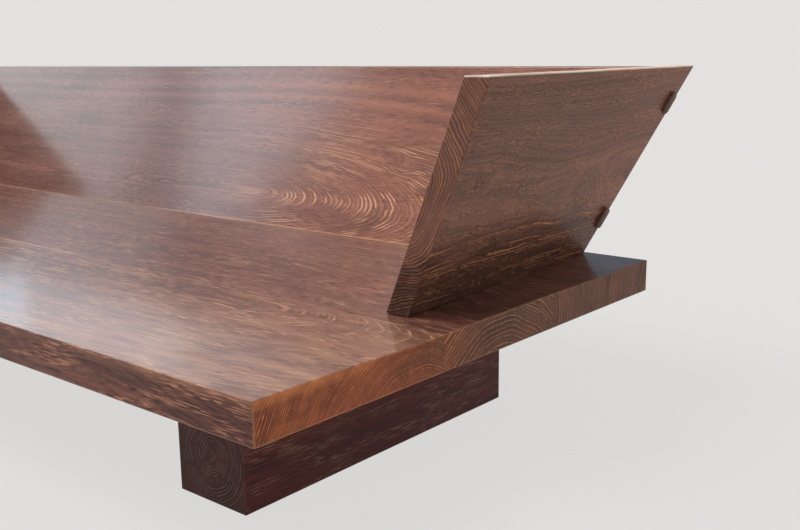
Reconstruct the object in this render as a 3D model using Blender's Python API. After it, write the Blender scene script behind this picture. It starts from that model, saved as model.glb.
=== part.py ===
"""Teak sofa: a thick slab seat on two beams, with a leaning back between two leaning arms.

Lengths are metres and angles are degrees. +Z is up, the front faces -Y, and right is +X as someone
facing the sofa sees it. The pieces are worked out from the seat's front edge at Y = 0, and at the end
the whole sofa is moved so that the origin lies under the middle of its box, on the floor.
"""

from math import cos, pi, radians, sin, tan

import bmesh
import bpy
from mathutils import Vector

# Fit and edges
FIT = 0.0003  # gap between two pieces that touch
EASE = 0.002  # rounding of the edges that hands and legs meet
EASE_STEPS = 2
ROUND_PROFILE = 0.5  # a circular arc
CORNER_STEPS = 3  # steps round the corner of a rail's or tenon's outline
ROUND_SIDES = 12  # sides of screws, washers, plugs and their holes
SMOOTH_ANGLE = 35  # round pieces are shaded smooth over edges flatter than this

# Seat slab, glued up from three boards
SEAT_LENGTH = 2.500
SEAT_THICKNESS = 0.060
FRONT_BOARD_WIDTH = 0.366
MIDDLE_BOARD_WIDTH = 0.294
REAR_BOARD_WIDTH = 0.340
TONGUE_WIDTH = 0.040
TONGUE_THICKNESS = 0.012
TONGUE_END_STOP = 0.080  # the tongue's end, in from the end of the slab

# Leg beams
LEG_END_INSET = 0.200
LEG_FRONT_INSET = 0.1515
LEG_REAR_INSET = 0.2015
LEG_WIDTH = 0.150
LEG_HEIGHT = 0.204

# Coach screws that hold the seat to the beams, one in each seat board
LEG_SCREW_SHANK = 0.010
LEG_SCREW_GRIP = 0.080  # beam wood between the washer and the seat
LEG_SCREW_BITE = 0.040  # thread in the seat
LEG_SCREW_TIP = 0.008
LEG_SCREW_HEAD_ACROSS = 0.017
LEG_SCREW_HEAD_HEIGHT = 0.007
WASHER_DIAMETER = 0.034
WASHER_THICKNESS = 0.003
SCREW_POINT = 0.002  # across the tip of either kind of screw

# Back and arms, which end at one height
REST_HEIGHT = 0.361  # above the seat
BACK_LEAN = 25.15
BACK_THICKNESS = 0.060
ARM_THICKNESS = 0.0414
ARM_LEAN = 21.57
ARM_TOE = 3.375  # turn in plan, rear end inwards
ARM_END_INSET = 0.0955  # the arm's outer foot at its front, in from the end of the slab
ARM_FRONT_INSET = 0.401
ARM_REAR_INSET = 0.0133

# Rails behind the back, tenoned right through the arms
RAIL_DEPTH = 0.075
RAIL_HEIGHT = 0.060
RAIL_TO_ARM_REAR = 0.001  # level distance from the rail's rear face to the arm's rear edge, at the seat
LOWER_RAIL_HEIGHT = 0.0715  # tenon centre above the seat
UPPER_RAIL_HEIGHT = 0.291
TENON_THICKNESS = 0.027
TENON_WIDTH = 0.040  # up the slope of the back
TENON_REAR_SHOULDER = 0.003  # the tenon lies close to the rail's rear face
TENON_PROUD = 0.006
TENON_ROUND = 0.007  # along its four corners
TENON_END_ROUND = 0.002  # round its outer end

# Screws that hold the back to the rails, with a plug over each head
RAIL_SCREW_COUNT = 4
RAIL_SCREW_END = 0.200  # the outer screws, in from the arm
RAIL_SCREW_SHANK = 0.006
RAIL_SCREW_BITE = 0.035
RAIL_SCREW_TIP = 0.006
RAIL_SCREW_HEAD = 0.012
RAIL_SCREW_HEAD_HEIGHT = 0.004
PLUG_DIAMETER = 0.015
PLUG_LENGTH = 0.012

# Loose tenons in the hidden joints
LOOSE_TENON_THICKNESS = 0.012
LOOSE_TENON_WIDTH = 0.080
FOOT_TENON_IN_SEAT = 0.035
FOOT_TENON_IN_REST = 0.030
ARM_TENON_COUNT = 2
ARM_TENON_END = 0.100  # tenon centre, in from the ends of the arm's foot
BACK_TENON_COUNT = 4
BACK_TENON_END = 0.250  # tenon centre, in from the arm
END_TENON_IN_ARM = 0.020
END_TENON_IN_BACK = 0.040
END_TENON_COUNT = 2
END_TENON_WIDTH = 0.060
END_TENON_MARGIN = 0.095  # tenon centre, in from the back's top and bottom edges, up its slope

# Levels and directions that follow
SEAT_DEPTH = FRONT_BOARD_WIDTH + MIDDLE_BOARD_WIDTH + REAR_BOARD_WIDTH
SEAT_BASE = LEG_HEIGHT + FIT
SEAT_TOP = SEAT_BASE + SEAT_THICKNESS
REST_BASE = SEAT_TOP + FIT
REST_TOP = SEAT_TOP + REST_HEIGHT
LEAN = radians(ARM_LEAN)
TOE = radians(ARM_TOE)
TILT = radians(BACK_LEAN)
SIDES = {"left": -1, "right": 1}
UP = Vector((0, 0, 1))
ARM_ALONG = Vector((-sin(TOE), cos(TOE), 0))
ARM_OUT = Vector((cos(TOE), sin(TOE), 0))
ARM_FOOT = Vector((SEAT_LENGTH / 2 - ARM_END_INSET, ARM_FRONT_INSET, SEAT_TOP))
ARM_LENGTH = (SEAT_DEPTH - ARM_REAR_INSET - ARM_FRONT_INSET) / cos(TOE)
BACK_BEHIND = Vector((0, cos(TILT), -sin(TILT)))
BACK_SLOPE = Vector((0, sin(TILT), cos(TILT)))
BACK_FOOT = SEAT_DEPTH - ARM_REAR_INSET - RAIL_TO_ARM_REAR - (BACK_THICKNESS + FIT + RAIL_DEPTH) / cos(TILT)
RAIL_CENTRE = BACK_THICKNESS + FIT + RAIL_DEPTH / 2  # behind the back's front face
TENON_CENTRE = RAIL_CENTRE + RAIL_DEPTH / 2 - TENON_REAR_SHOULDER - TENON_THICKNESS / 2

# Colours
TEAK = (0.085, 0.036, 0.022)
TEAK_RED = (0.115, 0.044, 0.026)
TEAK_DARK = (0.050, 0.024, 0.017)
STEEL = (0.42, 0.41, 0.39)
WOOD_ROUGHNESS = 0.4
STEEL_ROUGHNESS = 0.35


def principled(name, colour, roughness, metallic=0.0):
    material = bpy.data.materials.new(name)
    material.use_nodes = True
    shader = material.node_tree.nodes["Principled BSDF"]
    shader.inputs["Base Color"].default_value = (*colour, 1)
    shader.inputs["Roughness"].default_value = roughness
    shader.inputs["Metallic"].default_value = metallic
    return material


def add_loft(bm, rings, looped=False):
    """One closed solid through rings of points, with flat ends, or looped back on itself as a washer is."""
    loops = [[bm.verts.new(point) for point in ring] for ring in rings]
    pairs = list(zip(loops, loops[1:]))
    faces = []
    if looped:
        pairs.append((loops[-1], loops[0]))
    else:
        faces += [bm.faces.new(loops[0]), bm.faces.new(loops[-1])]
    for lower, upper in pairs:
        for near in range(len(lower)):
            far = (near + 1) % len(lower)
            faces.append(bm.faces.new((lower[near], lower[far], upper[far], upper[near])))
    bmesh.ops.recalc_face_normals(bm, faces=faces)


def add_object(name, bm):
    """A named object for the mesh, with its origin at the middle of its box."""
    low = Vector([min(vert.co[axis] for vert in bm.verts) for axis in range(3)])
    high = Vector([max(vert.co[axis] for vert in bm.verts) for axis in range(3)])
    centre = (low + high) / 2
    bmesh.ops.translate(bm, verts=bm.verts, vec=-centre)
    mesh = bpy.data.meshes.new(name)
    bm.to_mesh(mesh)
    bm.free()
    obj = bpy.data.objects.new(name, mesh)
    obj.location = centre
    obj.parent = sofa
    bpy.context.scene.collection.objects.link(obj)
    return obj


def solid(name, rings, colour, eased=None):
    """A wooden piece from one loft. eased picks the edges to round, by their middle point."""
    bm = bmesh.new()
    add_loft(bm, rings)
    if eased:
        edges = [edge for edge in bm.edges if eased((edge.verts[0].co + edge.verts[1].co) / 2)]
        bmesh.ops.bevel(
            bm,
            geom=edges,
            offset=EASE,
            segments=EASE_STEPS,
            profile=ROUND_PROFILE,
            affect="EDGES",
            clamp_overlap=True,
        )
    obj = add_object(name, bm)
    obj.data.materials.append(principled(name, colour, WOOD_ROUGHNESS))
    return obj


def solids(name, lofts, colour):
    """Like wooden pieces with numbered names."""
    return [solid(f"{name}_{index}", rings, colour) for index, rings in enumerate(lofts, 1)]


def steel_piece(name, rings, looped=False):
    """A round fastener from one loft."""
    bm = bmesh.new()
    add_loft(bm, rings, looped)
    obj = add_object(name, bm)
    obj.data.materials.append(principled(name, STEEL, STEEL_ROUGHNESS, metallic=1.0))
    shade_round(obj)
    return obj


def cut(obj, name, lofts):
    """Takes the lofts out of a piece with one cutter."""
    bm = bmesh.new()
    for rings in lofts:
        add_loft(bm, rings)
    cutter = add_object(name, bm)
    cutter.hide_render = True
    cutter.display_type = "WIRE"
    boolean = obj.modifiers.new(name, "BOOLEAN")
    boolean.operation = "DIFFERENCE"
    boolean.solver = "EXACT"
    boolean.object = cutter


def shade_round(obj):
    obj.data.shade_smooth()
    obj.data.set_sharp_from_angle(angle=radians(SMOOTH_ANGLE))


def box(low, high):
    """Two rings for an upright box."""
    outline = ((low[0], low[1]), (high[0], low[1]), (high[0], high[1]), (low[0], high[1]))
    return [[Vector((x, y, z)) for x, y in outline] for z in (low[2], high[2])]


def spread(count, low, high):
    """Places from low to high at equal steps."""
    return [low + (high - low) * step / (count - 1) for step in range(count)]


def circle(diameter):
    turn = 2 * pi / ROUND_SIDES
    radius = diameter / 2
    return [(radius * cos(turn * step), radius * sin(turn * step)) for step in range(ROUND_SIDES)]


def hexagon(across):
    """A hexagon with a point at each corner and each half edge, to match a circle's count."""
    half = across / 2
    points = []
    for step in range(ROUND_SIDES):
        angle = 2 * pi * step / ROUND_SIDES
        reach = half / cos((angle + pi / 6) % (pi / 3) - pi / 6)
        points.append((reach * cos(angle), reach * sin(angle)))
    return points


def rounded_square(width, height, radius):
    """Points round a rectangle with round corners."""
    points = []
    for corner, (across, along) in enumerate(((1, 1), (-1, 1), (-1, -1), (1, -1))):
        for step in range(CORNER_STEPS + 1):
            angle = pi / 2 * (corner + step / CORNER_STEPS)
            points.append(
                (
                    across * (width / 2 - radius) + radius * cos(angle),
                    along * (height / 2 - radius) + radius * sin(angle),
                )
            )
    return points


def turned(start, direction, sections):
    """Rings along a straight axis. Each section is a distance from the start and an outline."""
    axis = direction.normalized()
    across = axis.orthogonal().normalized()
    other = axis.cross(across)
    return [[start + axis * far + across * u + other * v for u, v in outline] for far, outline in sections]


def arm_x(y, z, depth):
    """X of the plane that lies depth outside the right arm's inner face, at a height and a place."""
    reach = depth - ARM_THICKNESS + sin(LEAN) * (z - ARM_FOOT.z) - sin(TOE) * cos(LEAN) * (y - ARM_FOOT.y)
    return ARM_FOOT.x + reach / (cos(TOE) * cos(LEAN))


def arm_point(along, inset, z):
    """A point of the right arm: back along its foot, level inset from its outer face, and a height."""
    out = (z - SEAT_TOP) * tan(LEAN) - inset
    point = ARM_FOOT + ARM_ALONG * along + ARM_OUT * out
    point.z = z
    return point


def back_y(behind, z):
    """Y of the plane that lies behind the back's front face, at a height."""
    return BACK_FOOT + behind / cos(TILT) + (z - SEAT_TOP) * tan(TILT)


def back_point(behind, slope):
    """A point of the back's section: a distance behind its front face, and up its slope from the seat."""
    return Vector((0, BACK_FOOT, SEAT_TOP)) + BACK_BEHIND * behind + BACK_SLOPE * slope


def mirrored(rings, side):
    return [[Vector((side * point.x, point.y, point.z)) for point in ring] for ring in rings]


def grown(size):
    """The size of a hole round a piece."""
    return size + 2 * FIT


def board_edges():
    """Y of the slab's front edge, its board joints and its rear edge."""
    first = FRONT_BOARD_WIDTH
    return (0, first, first + MIDDLE_BOARD_WIDTH, SEAT_DEPTH)


def upright_tenon(centre, along, across, thickness, width, top, bottom):
    """Rings for a flat upright tenon with its width along one direction."""
    outline = rounded_square(width, thickness, thickness / 2 - FIT)
    rings = []
    for level in (bottom, top):
        rings.append([Vector((*(centre + along * u + across * v).xy, level)) for u, v in outline])
    return rings


def arm_tenons(side, extra):
    """Loose tenons under one arm, or with extra set the mortises for them."""
    lofts = []
    rise = FOOT_TENON_IN_REST / 2
    for along in spread(ARM_TENON_COUNT, ARM_TENON_END, ARM_LENGTH - ARM_TENON_END):
        centre = arm_point(along, ARM_THICKNESS / cos(LEAN) / 2, SEAT_TOP + rise)
        rings = upright_tenon(
            centre,
            ARM_ALONG,
            ARM_OUT,
            LOOSE_TENON_THICKNESS + 2 * extra,
            LOOSE_TENON_WIDTH + 2 * extra,
            SEAT_TOP + FOOT_TENON_IN_REST + extra,
            SEAT_TOP - FOOT_TENON_IN_SEAT - extra,
        )
        lofts.append(mirrored(rings, side))
    return lofts


def back_foot_tenons(extra):
    """Loose tenons under the back, or with extra set the mortises for them."""
    middle = back_y(BACK_THICKNESS / 2, SEAT_TOP + FOOT_TENON_IN_REST / 2)
    reach = arm_x(middle, SEAT_TOP, 0) - BACK_TENON_END
    return [
        upright_tenon(
            Vector((x, middle, 0)),
            Vector((1, 0, 0)),
            Vector((0, 1, 0)),
            LOOSE_TENON_THICKNESS + 2 * extra,
            LOOSE_TENON_WIDTH + 2 * extra,
            SEAT_TOP + FOOT_TENON_IN_REST + extra,
            SEAT_TOP - FOOT_TENON_IN_SEAT - extra,
        )
        for x in spread(BACK_TENON_COUNT, -reach, reach)
    ]


def back_end_tenons(side, extra):
    """Loose tenons between the back's end and an arm, or with extra set the mortises for them."""
    lofts = []
    thickness = LOOSE_TENON_THICKNESS + 2 * extra
    outline = rounded_square(thickness, END_TENON_WIDTH + 2 * extra, thickness / 2 - FIT)
    slope_length = REST_HEIGHT / cos(TILT)
    for slope in spread(END_TENON_COUNT, END_TENON_MARGIN, slope_length - END_TENON_MARGIN):
        rings = []
        for depth in (-END_TENON_IN_BACK - extra, END_TENON_IN_ARM + extra):
            section = [back_point(BACK_THICKNESS / 2 + u, slope + v) for u, v in outline]
            rings.append([Vector((arm_x(point.y, point.z, depth), point.y, point.z)) for point in section])
        lofts.append(mirrored(rings, side))
    return lofts


def rail_slope(height):
    """How far up the back's slope a rail lies, for its tenons' height."""
    return (height + TENON_CENTRE * sin(TILT)) / cos(TILT)


def rail_section(height):
    """A rail's outline in the plane X = 0."""
    outline = rounded_square(RAIL_DEPTH, RAIL_HEIGHT, EASE)
    return [back_point(RAIL_CENTRE + u, rail_slope(height) + v) for u, v in outline]


def tenon_section(height, extra):
    """A rail tenon's outline in the plane X = 0, or with extra set a larger or smaller one."""
    outline = rounded_square(TENON_THICKNESS + 2 * extra, TENON_WIDTH + 2 * extra, TENON_ROUND + extra)
    return [back_point(TENON_CENTRE + u, rail_slope(height) + v) for u, v in outline]


def at_arm(section, depth, side):
    """A section carried along X to the plane that lies depth outside an arm's inner face."""
    return [Vector((side * arm_x(point.y, point.z, depth), point.y, point.z)) for point in section]


def rail_screw_places(height):
    """Points on the back's rear face, where the screws of a rail cross it."""
    foot = back_point(BACK_THICKNESS, rail_slope(height))
    reach = arm_x(foot.y, foot.z, 0) - RAIL_SCREW_END
    return [Vector((x, foot.y, foot.z)) for x in spread(RAIL_SCREW_COUNT, -reach, reach)]


def rail_screw(place, extra):
    """One wood screw, or with extra set the hole for it, from its point to its head."""
    head_end = FIT + RAIL_DEPTH - PLUG_LENGTH - FIT
    head_start = head_end - RAIL_SCREW_HEAD_HEIGHT
    shank = circle(RAIL_SCREW_SHANK + 2 * extra)
    head = circle(RAIL_SCREW_HEAD + 2 * extra)
    return turned(
        place,
        BACK_BEHIND,
        [
            (-RAIL_SCREW_BITE - extra, circle(SCREW_POINT + 2 * extra)),
            (-RAIL_SCREW_BITE + RAIL_SCREW_TIP - extra, shank),
            (head_start - extra, shank),
            (head_start - extra, head),
            (head_end + extra, head),
        ],
    )


def rail_plug(place, extra):
    """One plug over a screw's head, or with extra set its hole, which runs out of the rail's rear face."""
    end = FIT + RAIL_DEPTH
    outline = circle(PLUG_DIAMETER + 2 * extra)
    return turned(place, BACK_BEHIND, [(end - PLUG_LENGTH - extra, outline), (end + 2 * extra, outline)])


def leg_screw_places(side):
    """Points on the beam's top, one for each seat board, midway along what lies there between its tongues."""
    x = side * (SEAT_LENGTH / 2 - LEG_END_INSET - LEG_WIDTH / 2)
    beam_front, beam_rear = LEG_FRONT_INSET, SEAT_DEPTH - LEG_REAR_INSET
    edges = board_edges()
    places = []
    for board_front, board_rear in zip(edges, edges[1:]):
        front = max(board_front + TONGUE_WIDTH / 2, beam_front)
        rear = min(board_rear - TONGUE_WIDTH / 2, beam_rear)
        places.append(Vector((x, (front + rear) / 2, LEG_HEIGHT)))
    return places


def leg_screw(place, extra):
    """One coach screw, or with extra set the hole for its shank."""
    shank = circle(LEG_SCREW_SHANK + 2 * extra)
    head = hexagon(LEG_SCREW_HEAD_ACROSS)
    under_head = -LEG_SCREW_GRIP - WASHER_THICKNESS - 2 * FIT
    sections = [
        (under_head - LEG_SCREW_HEAD_HEIGHT, head),
        (under_head, head),
        (under_head, shank),
        (FIT + LEG_SCREW_BITE - LEG_SCREW_TIP, shank),
        (FIT + LEG_SCREW_BITE, circle(SCREW_POINT)),
    ]
    if extra:
        sections = [
            (under_head, shank),
            (FIT + LEG_SCREW_BITE - LEG_SCREW_TIP + extra, shank),
            (FIT + LEG_SCREW_BITE + extra, circle(SCREW_POINT + 2 * extra)),
        ]
    return turned(place, UP, sections)


def leg_washer(place):
    """One washer between a coach screw's head and the floor of its bore."""
    inner = circle(grown(LEG_SCREW_SHANK))
    outer = circle(WASHER_DIAMETER)
    top = -LEG_SCREW_GRIP - FIT
    base = top - WASHER_THICKNESS
    return turned(place, UP, [(base, inner), (base, outer), (top, outer), (top, inner)])


def clear_scene():
    for old in list(bpy.data.objects):
        bpy.data.objects.remove(old, do_unlink=True)


def build_seat():
    """Three boards with loose tongues in their joints, cut for the tenons above and the screws below."""
    half = SEAT_LENGTH / 2
    names = ("front", "middle", "rear")
    colours = (TEAK_RED, TEAK, TEAK)
    edges = board_edges()
    tongue_mid = SEAT_BASE + SEAT_THICKNESS / 2
    tongue_low = tongue_mid - TONGUE_THICKNESS / 2
    tongue_high = tongue_mid + TONGUE_THICKNESS / 2
    tongue_end = half - TONGUE_END_STOP
    joints = edges[1:-1]
    mortises = back_foot_tenons(FIT)
    for side in SIDES.values():
        mortises += arm_tenons(side, FIT)
        mortises += [leg_screw(place, FIT) for place in leg_screw_places(side)]
    for y in joints:
        low = (-tongue_end - FIT, y - TONGUE_WIDTH / 2 - FIT, tongue_low - FIT)
        high = (tongue_end + FIT, y + TONGUE_WIDTH / 2 + FIT, tongue_high + FIT)
        mortises.append(box(low, high))
    for name, colour, front, rear in zip(names, colours, edges, edges[1:]):
        near = front + FIT / 2 * (front in joints)
        far = rear - FIT / 2 * (rear in joints)
        board = solid(
            f"seat_board_{name}",
            box((-half, near, SEAT_BASE), (half, far, SEAT_TOP)),
            colour,
            eased=lambda mid, low=near, high=far: on_outside(mid, low, high, half),
        )
        cut(board, f"seat_{name}_cuts", mortises)
    for name, y in zip(("front", "rear"), joints):
        low = (-tongue_end, y - TONGUE_WIDTH / 2, tongue_low)
        high = (tongue_end, y + TONGUE_WIDTH / 2, tongue_high)
        solid(f"seat_tongue_{name}", box(low, high), TEAK_DARK)


def on_outside(mid, front, rear, half):
    """Whether a board's edge lies on the outside of the slab, and so is rounded."""
    at_end = abs(abs(mid.x) - half) < FIT
    at_front = abs(mid.y - front) < FIT
    at_rear = abs(mid.y - rear) < FIT
    upright = at_end and (at_front or at_rear)
    slab_front = at_front and front == 0
    slab_rear = at_rear and rear == SEAT_DEPTH
    if upright:
        return slab_front or slab_rear
    return at_end or slab_front or slab_rear


def build_legs():
    """Solid beams from front to rear, bored from below for coach screws and washers."""
    for name, side in SIDES.items():
        outer = side * (SEAT_LENGTH / 2 - LEG_END_INSET)
        inner = side * (SEAT_LENGTH / 2 - LEG_END_INSET - LEG_WIDTH)
        low = (min(outer, inner), LEG_FRONT_INSET, 0)
        high = (max(outer, inner), SEAT_DEPTH - LEG_REAR_INSET, LEG_HEIGHT)
        below_top = LEG_HEIGHT - FIT
        beam = solid(f"leg_beam_{name}", box(low, high), TEAK_DARK, eased=lambda mid: mid.z < below_top)
        places = leg_screw_places(side)
        bore = circle(grown(WASHER_DIAMETER))
        holes = [
            turned(
                place,
                UP,
                [
                    (-LEG_HEIGHT - FIT, bore),
                    (-LEG_SCREW_GRIP, bore),
                    (-LEG_SCREW_GRIP, circle(grown(LEG_SCREW_SHANK))),
                    (FIT, circle(grown(LEG_SCREW_SHANK))),
                ],
            )
            for place in places
        ]
        cut(beam, f"leg_{name}_bores", holes)
        for index, place in enumerate(places, 1):
            steel_piece(f"leg_screw_{name}_{index}", leg_screw(place, 0))
            steel_piece(f"leg_washer_{name}_{index}", leg_washer(place), looped=True)


def build_arms():
    """Boards that lean outwards, mortised through for the rails and on the hidden sides for loose tenons."""
    inset = ARM_THICKNESS / cos(LEAN)
    for name, side in SIDES.items():
        rings = []
        for z in (REST_BASE, REST_TOP):
            rear = ARM_LENGTH + (z - SEAT_TOP) * tan(TILT)
            corners = ((0, 0), (rear, 0), (rear, inset), (0, inset))
            rings.append([arm_point(along, across, z) for along, across in corners])
        arm = solid(f"arm_{name}", mirrored(rings, side), TEAK, eased=lambda mid: mid.z > REST_BASE + FIT)
        mortises = arm_tenons(side, FIT) + back_end_tenons(side, FIT)
        for height in (LOWER_RAIL_HEIGHT, UPPER_RAIL_HEIGHT):
            section = tenon_section(height, FIT)
            reach = ARM_THICKNESS + TENON_PROUD
            mortises.append([at_arm(section, -TENON_PROUD, side), at_arm(section, reach, side)])
        cut(arm, f"arm_{name}_mortises", mortises)
        solids(f"arm_tenon_{name}", arm_tenons(side, 0), TEAK_DARK)


def build_back():
    """One wide board that leans between the arms, with tenons into the seat and the arms."""
    rings = []
    for z in (REST_BASE, REST_TOP):
        front, rear = back_y(0, z), back_y(BACK_THICKNESS, z)
        corners = ((-1, front), (1, front), (1, rear), (-1, rear))
        rings.append([Vector((side * arm_x(y, z, -FIT), y, z)) for side, y in corners])
    top_edges = REST_TOP - FIT
    board = solid(
        "back_board", rings, TEAK_RED, eased=lambda mid: mid.z > top_edges and abs(mid.x) < FIT
    )
    mortises = back_foot_tenons(FIT)
    for side in SIDES.values():
        mortises += back_end_tenons(side, FIT)
    for height in (LOWER_RAIL_HEIGHT, UPPER_RAIL_HEIGHT):
        mortises += [rail_screw(place, FIT) for place in rail_screw_places(height)]
    cut(board, "back_board_mortises", mortises)
    solids("back_foot_tenon", back_foot_tenons(0), TEAK_DARK)
    for name, side in SIDES.items():
        solids(f"back_end_tenon_{name}", back_end_tenons(side, 0), TEAK_DARK)


def build_rails():
    """Rails across the rear of the back, shouldered on the arms, their tenons standing proud outside."""
    for name, height in (("lower", LOWER_RAIL_HEIGHT), ("upper", UPPER_RAIL_HEIGHT)):
        end_depth = ARM_THICKNESS + TENON_PROUD
        end_round = min(TENON_END_ROUND, TENON_ROUND - FIT)
        half = [at_arm(rail_section(height), -FIT, 1), at_arm(tenon_section(height, 0), -FIT, 1)]
        for step in range(EASE_STEPS + 1):
            angle = pi / 2 * step / EASE_STEPS
            section = tenon_section(height, -end_round * (1 - cos(angle)))
            half.append(at_arm(section, end_depth - end_round * (1 - sin(angle)), 1))
        rings = mirrored(half, -1)[::-1] + half
        rail = solid(f"back_rail_{name}", rings, TEAK)
        places = rail_screw_places(height)
        cut(rail, f"back_rail_{name}_screw_holes", [rail_screw(place, FIT) for place in places])
        cut(rail, f"back_rail_{name}_plug_holes", [rail_plug(place, FIT) for place in places])
        for index, place in enumerate(places, 1):
            steel_piece(f"rail_screw_{name}_{index}", rail_screw(place, 0))
            shade_round(solid(f"rail_plug_{name}_{index}", rail_plug(place, 0), TEAK_DARK))


def centre_on_box():
    """Moves the sofa so that the middle of its box, seen from above, lies on the origin."""
    bpy.context.view_layer.update()
    graph = bpy.context.evaluated_depsgraph_get()
    reach = []
    for obj in sofa.children:
        if not obj.hide_render:
            shape = obj.evaluated_get(graph)
            reach += [(shape.matrix_world @ Vector(corner)).y for corner in shape.bound_box]
    sofa.location.y = -(min(reach) + max(reach)) / 2


clear_scene()
sofa = bpy.data.objects.new("sofa", None)
bpy.context.scene.collection.objects.link(sofa)
build_seat()
build_legs()
build_arms()
build_back()
build_rails()
centre_on_box()
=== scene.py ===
"""The looks of a teak sofa: a thick slab seat on two beams, and a leaning back between leaning arms."""

from math import ceil, cos, exp, pi, radians, sin, tan

import bmesh
import bpy
from mathutils import Matrix, Vector, noise


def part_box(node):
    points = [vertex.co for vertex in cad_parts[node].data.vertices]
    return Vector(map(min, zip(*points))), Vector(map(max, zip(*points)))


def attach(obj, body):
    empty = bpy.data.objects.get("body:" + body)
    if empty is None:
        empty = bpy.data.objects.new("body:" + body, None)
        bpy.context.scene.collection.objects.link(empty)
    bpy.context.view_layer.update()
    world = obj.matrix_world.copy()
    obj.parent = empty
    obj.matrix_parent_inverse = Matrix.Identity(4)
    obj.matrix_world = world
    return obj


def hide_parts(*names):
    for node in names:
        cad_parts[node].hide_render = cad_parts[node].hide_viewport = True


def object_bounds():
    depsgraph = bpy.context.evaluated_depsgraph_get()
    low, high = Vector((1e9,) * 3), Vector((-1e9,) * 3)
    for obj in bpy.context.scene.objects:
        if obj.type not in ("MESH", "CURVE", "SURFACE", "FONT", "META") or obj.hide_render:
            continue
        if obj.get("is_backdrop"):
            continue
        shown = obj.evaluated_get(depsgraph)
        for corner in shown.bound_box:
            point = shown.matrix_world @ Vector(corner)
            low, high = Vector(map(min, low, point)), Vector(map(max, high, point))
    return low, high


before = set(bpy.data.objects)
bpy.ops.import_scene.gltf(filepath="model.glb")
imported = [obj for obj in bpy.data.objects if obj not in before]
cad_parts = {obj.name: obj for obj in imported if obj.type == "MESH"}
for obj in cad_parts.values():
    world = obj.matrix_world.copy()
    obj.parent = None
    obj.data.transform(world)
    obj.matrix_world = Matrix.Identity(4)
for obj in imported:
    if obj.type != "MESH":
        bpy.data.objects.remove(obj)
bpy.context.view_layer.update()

# Leg beams
# Two solid teak balks that run from front to rear and carry the seat. They are sawn square with the heart
# of the log inside, so their ends show whole rings, and are bored from below for the coach screws.
LENGTHWISE = Vector((1, 0, 0))
REARWARD = Vector((0, 1, 0))
UPWARD = Vector((0, 0, 1))
SAME_SIDE = 0.999  # how closely two faces have to point alike to be one side of a piece
EDGE_TURNS = (45, 30, 15, 0)  # degrees at which a rounded edge gets a row of points
WEAR_AND_HIGHLIGHT_REACH = 0.0012  # how far the pale wear and painted highlight run in from a rounded edge
SEAM_REACH = 0.005  # and from a sharp edge along a glue line
# How pale a glue line is drawn: wear on the seat's front seam, and a painted highlight at the back's foot
SEAM_WEAR_AND_HIGHLIGHT = 0.9
PLANE_MARKS = ((3.1, 0.00050), (11.0, 0.00016))  # waves a metre and their depth, left by the hand plane
SMOOTH_ANGLE = radians(28)
JOINT_GAP = 0.00025  # a little less than the gap that the pieces keep
JOINT_CLOSED = 0.00013  # how far each side of a glued joint closes that gap
LEG_EASE = 0.002
LEG_STEP = 0.012
# How pale the beams' eased edges are drawn: wear, and a painted highlight for the light they catch
LEG_WEAR_AND_HIGHLIGHT = 0.12
LEG_END_TINT = (0.62, 0.74, 0.80)
LEG_HEART_INSET = 0.274  # the heart of the log, in from the end of the slab and down from the beam's top
LEG_HEART_DEPTH = 0.129


def outer_sides(node):
    """The six largest sides of a CAD node: the outward way of each, and its distance from the origin."""
    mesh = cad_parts[node].data
    groups = []
    for face in sorted(mesh.polygons, key=lambda face: -face.area):
        for group in groups:
            if group[0].dot(face.normal) > SAME_SIDE:
                group[1] += face.area
                break
        else:
            groups.append([face.normal.copy(), face.area])
    groups.sort(key=lambda group: -group[1])
    return [(normal, max(normal.dot(vert.co) for vert in mesh.vertices)) for normal, area in groups[:6]]


def side_towards(sides, direction):
    return max(sides, key=lambda side: side[0].dot(direction))


def block_corners(node, axes):
    """Where a node's six sides meet, by low or high end of each axis."""
    sides = outer_sides(node)
    ends = [(side_towards(sides, -axis), side_towards(sides, axis)) for axis in axes]
    corners = {}
    for place in ((a, b, c) for a in (0, 1) for b in (0, 1) for c in (0, 1)):
        meeting = [pair[end] for pair, end in zip(ends, place)]
        normals = Matrix([normal for normal, distance in meeting])
        corners[place] = normals.inverted() @ Vector([distance for normal, distance in meeting])
    return corners


def edge_places(ease):
    """Rows of points in from one end of a block: over its rounded edge, or beside a glue line."""
    if ease:
        return [ease * (1 - tan(radians(turn))) for turn in EDGE_TURNS] + [ease + WEAR_AND_HIGHLIGHT_REACH]
    return [0.0, SEAM_REACH]


def block_places(length, eases, step):
    """Rows of points along one axis of a block: close at the ends, and at even steps between."""
    start = edge_places(eases[0])
    finish = [length - place for place in reversed(edge_places(eases[1]))]
    gap = finish[0] - start[-1]
    count = max(1, ceil(gap / step))
    return start + [start[-1] + gap * index / count for index in range(1, count)] + finish


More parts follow.
